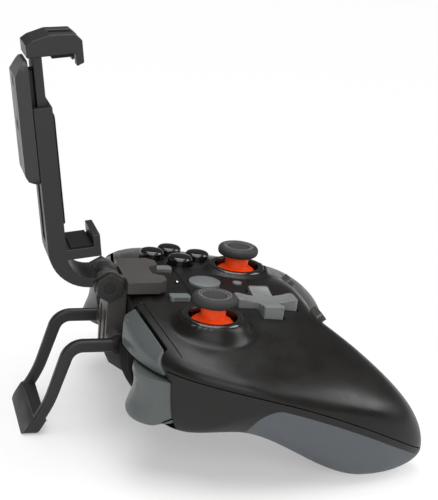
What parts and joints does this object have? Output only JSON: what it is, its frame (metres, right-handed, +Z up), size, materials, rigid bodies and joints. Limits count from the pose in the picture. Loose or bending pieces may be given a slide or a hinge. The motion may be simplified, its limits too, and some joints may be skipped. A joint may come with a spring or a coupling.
{
  "type": "mobile game controller",
  "caption": "Handheld game controller with thumbsticks, direction pad, buttons, bumpers and triggers, a hinged spring clip for a phone and a fold-out stand.",
  "frame": {"origin": "centre of the bounding box's base, on the table", "axes": "+X to the user's right, +Y away from the user towards the clip and stand, +Z up"},
  "size_m": [0.146, 0.1476, 0.1473],
  "materials": {
    "shell": "satin charcoal",
    "lower_shell": "satin dark charcoal",
    "grip": "fine-grained slate grey",
    "grey": "satin mid grey",
    "orange": "glossy orange",
    "gloss_black": "glossy black",
    "cap_rubber": "matt dark grey",
    "clip_plastic": "matt black",
    "cover_plastic": "satin dark grey",
    "pad_rubber": "matt black",
    "steel": "bright",
    "board": "green solder mask",
    "mat": "matt grey",
    "cell": "silver wrap",
    "light": "white light guide"
  },
  "bodies": {
    "body": {"top_shell": "shell", "bottom_shell": "lower_shell", "left_grip": "grip", "right_grip": "grip", "status_light": "light", "bumper_pins": "steel", "trigger_pins": "steel", "main_board": "board", "button_mat": "mat", "battery": "cell", "charging_port": "steel", "shell_screws": "steel", "clip_base": "clip_plastic", "clip_hinge_pin": "steel", "clip_hinge_nuts": "clip_plastic", "stand_pin": "steel", "left_stick_ring": "gloss_black", "left_stick_module": "steel", "right_stick_ring": "gloss_black", "right_stick_module": "steel"},
    "left_yoke": {"left_stick_yoke": "clip_plastic"},
    "left_post": {"left_stick_post": "steel"},
    "left_stick": {"left_stick_stem": "orange", "left_stick_cap": "cap_rubber"},
    "right_yoke": {"right_stick_yoke": "clip_plastic"},
    "right_post": {"right_stick_post": "steel"},
    "right_stick": {"right_stick_stem": "orange", "right_stick_cap": "cap_rubber"},
    "dpad_rocker": {"dpad_rocker": "clip_plastic"},
    "dpad": {"dpad": "grey"},
    "a_button": {"a_button": "gloss_black"},
    "b_button": {"b_button": "gloss_black"},
    "x_button": {"x_button": "gloss_black"},
    "y_button": {"y_button": "gloss_black"},
    "view_button": {"view_button": "grey"},
    "menu_button": {"menu_button": "grey"},
    "home_button": {"home_button": "grey"},
    "program_button": {"program_button": "grey"},
    "left_bumper": {"left_bumper": "grey"},
    "left_trigger": {"left_trigger": "grey"},
    "left_rear_button": {"left_rear_button": "clip_plastic"},
    "right_bumper": {"right_bumper": "grey"},
    "right_trigger": {"right_trigger": "grey"},
    "right_rear_button": {"right_rear_button": "clip_plastic"},
    "slide_switch": {"slide_switch": "lower_shell"},
    "bar_button": {"bar_button": "lower_shell"},
    "clip_arm": {"clip_arm": "clip_plastic", "lower_jaw_pad": "pad_rubber", "back_pad": "pad_rubber", "clip_spring": "steel"},
    "clip_slider": {"clip_slider": "clip_plastic", "slider_cover": "cover_plastic", "upper_jaw_pad": "pad_rubber", "slider_screws": "steel"},
    "stand": {"stand": "clip_plastic"}
  },
  "joints": [
    {"name": "left_stick_forward", "type": "hinge", "parent": "body", "child": "left_yoke", "pos_m": [-0.0375, 0.00486, 0.04732], "axis": [1, 0, 0], "range_deg": [-14, 14], "stiffness_Nm_per_rad": 0.02},
    {"name": "left_stick_sideways", "type": "hinge", "parent": "left_yoke", "child": "left_post", "pos_m": [-0.0375, 0.00486, 0.04732], "axis": [0, 0.9997, 0.0262], "range_deg": [-14, 14], "stiffness_Nm_per_rad": 0.02},
    {"name": "left_stick_click", "type": "slide", "parent": "left_post", "child": "left_stick", "axis": [0, -0.0262, 0.9997], "range_m": [-0.0005, 0], "stiffness_N_per_m": 2000, "springref_m": 0.001},
    {"name": "right_stick_forward", "type": "hinge", "parent": "body", "child": "right_yoke", "pos_m": [0.0184, -0.01964, 0.04668], "axis": [1, 0, 0], "range_deg": [-14, 14], "stiffness_Nm_per_rad": 0.02},
    {"name": "right_stick_sideways", "type": "hinge", "parent": "right_yoke", "child": "right_post", "pos_m": [0.0184, -0.01964, 0.04668], "axis": [0, 0.9997, 0.0262], "range_deg": [-14, 14], "stiffness_Nm_per_rad": 0.02},
    {"name": "right_stick_click", "type": "slide", "parent": "right_post", "child": "right_stick", "axis": [0, -0.0262, 0.9997], "range_m": [-0.0005, 0], "stiffness_N_per_m": 2000, "springref_m": 0.001},
    {"name": "dpad_forward", "type": "hinge", "parent": "body", "child": "dpad_rocker", "pos_m": [-0.0189, -0.02066, 0.04746], "axis": [1, 0, 0], "range_deg": [-4, 4], "stiffness_Nm_per_rad": 0.05},
    {"name": "dpad_sideways", "type": "hinge", "parent": "dpad_rocker", "child": "dpad", "pos_m": [-0.0189, -0.02066, 0.04746], "axis": [0, 0.9997, 0.0262], "range_deg": [-4, 4], "stiffness_Nm_per_rad": 0.05},
    {"name": "a_press", "type": "slide", "parent": "body", "child": "a_button", "axis": [0, -0.0262, 0.9997], "range_m": [-0.0014, 0], "stiffness_N_per_m": 300, "springref_m": 0.001},
    {"name": "b_press", "type": "slide", "parent": "body", "child": "b_button", "axis": [0, -0.0262, 0.9997], "range_m": [-0.0014, 0], "stiffness_N_per_m": 300, "springref_m": 0.001},
    {"name": "x_press", "type": "slide", "parent": "body", "child": "x_button", "axis": [0, -0.0262, 0.9997], "range_m": [-0.0014, 0], "stiffness_N_per_m": 300, "springref_m": 0.001},
    {"name": "y_press", "type": "slide", "parent": "body", "child": "y_button", "axis": [0, -0.0262, 0.9997], "range_m": [-0.0014, 0], "stiffness_N_per_m": 300, "springref_m": 0.001},
    {"name": "view_press", "type": "slide", "parent": "body", "child": "view_button", "axis": [0, -0.0262, 0.9997], "range_m": [-0.0008, 0], "stiffness_N_per_m": 300, "springref_m": 0.001},
    {"name": "menu_press", "type": "slide", "parent": "body", "child": "menu_button", "axis": [0, -0.0262, 0.9997], "range_m": [-0.0008, 0], "stiffness_N_per_m": 300, "springref_m": 0.001},
    {"name": "home_press", "type": "slide", "parent": "body", "child": "home_button", "axis": [0, -0.0262, 0.9997], "range_m": [-0.0008, 0], "stiffness_N_per_m": 300, "springref_m": 0.001},
    {"name": "program_press", "type": "slide", "parent": "body", "child": "program_button", "axis": [0, -0.0262, 0.9997], "range_m": [-0.0006, 0], "stiffness_N_per_m": 300, "springref_m": 0.001},
    {"name": "left_bumper_press", "type": "hinge", "parent": "body", "child": "left_bumper", "pos_m": [-0.025, 0.0312, 0.0455], "axis": [0, 0, 1], "range_deg": [0, 1], "stiffness_Nm_per_rad": 1, "springref_deg": -1.15},
    {"name": "left_trigger_pull", "type": "hinge", "parent": "body", "child": "left_trigger", "pos_m": [-0.04575, 0.0245, 0.0349], "axis": [1, 0, 0], "range_deg": [-16, 0], "stiffness_Nm_per_rad": 0.02, "springref_deg": 6.88},
    {"name": "left_rear_press", "type": "slide", "parent": "body", "child": "left_rear_button", "axis": [0, 0, 1], "range_m": [0, 0.001], "stiffness_N_per_m": 300, "springref_m": -0.001},
    {"name": "right_bumper_press", "type": "hinge", "parent": "body", "child": "right_bumper", "pos_m": [0.025, 0.0312, 0.0455], "axis": [0, 0, 1], "range_deg": [-1, 0], "stiffness_Nm_per_rad": 1, "springref_deg": 1.15},
    {"name": "right_trigger_pull", "type": "hinge", "parent": "body", "child": "right_trigger", "pos_m": [0.04575, 0.0245, 0.0349], "axis": [1, 0, 0], "range_deg": [-16, 0], "stiffness_Nm_per_rad": 0.02, "springref_deg": 6.88},
    {"name": "right_rear_press", "type": "slide", "parent": "body", "child": "right_rear_button", "axis": [0, 0, 1], "range_m": [0, 0.001], "stiffness_N_per_m": 300, "springref_m": -0.001},
    {"name": "mode_slide", "type": "slide", "parent": "body", "child": "slide_switch", "axis": [1, 0, 0], "range_m": [-0.0025, 0.0025]},
    {"name": "bar_press", "type": "slide", "parent": "body", "child": "bar_button", "axis": [0, -0.788, 0.6157], "range_m": [-0.0008, 0], "stiffness_N_per_m": 300, "springref_m": 0.001},
    {"name": "clip_tilt", "type": "hinge", "parent": "body", "child": "clip_arm", "pos_m": [0, 0.0366, 0.055], "axis": [1, 0, 0], "range_deg": [-10, 30]},
    {"name": "jaw_slide", "type": "slide", "parent": "clip_arm", "child": "clip_slider", "axis": [0, 0.1392, 0.9903], "range_m": [-0.016, 0.006], "deforming": ["clip_spring"]},
    {"name": "stand_fold", "type": "hinge", "parent": "body", "child": "stand", "pos_m": [0, 0.0334, 0.0348], "axis": [1, 0, 0], "range_deg": [0, 75]}
  ]
}
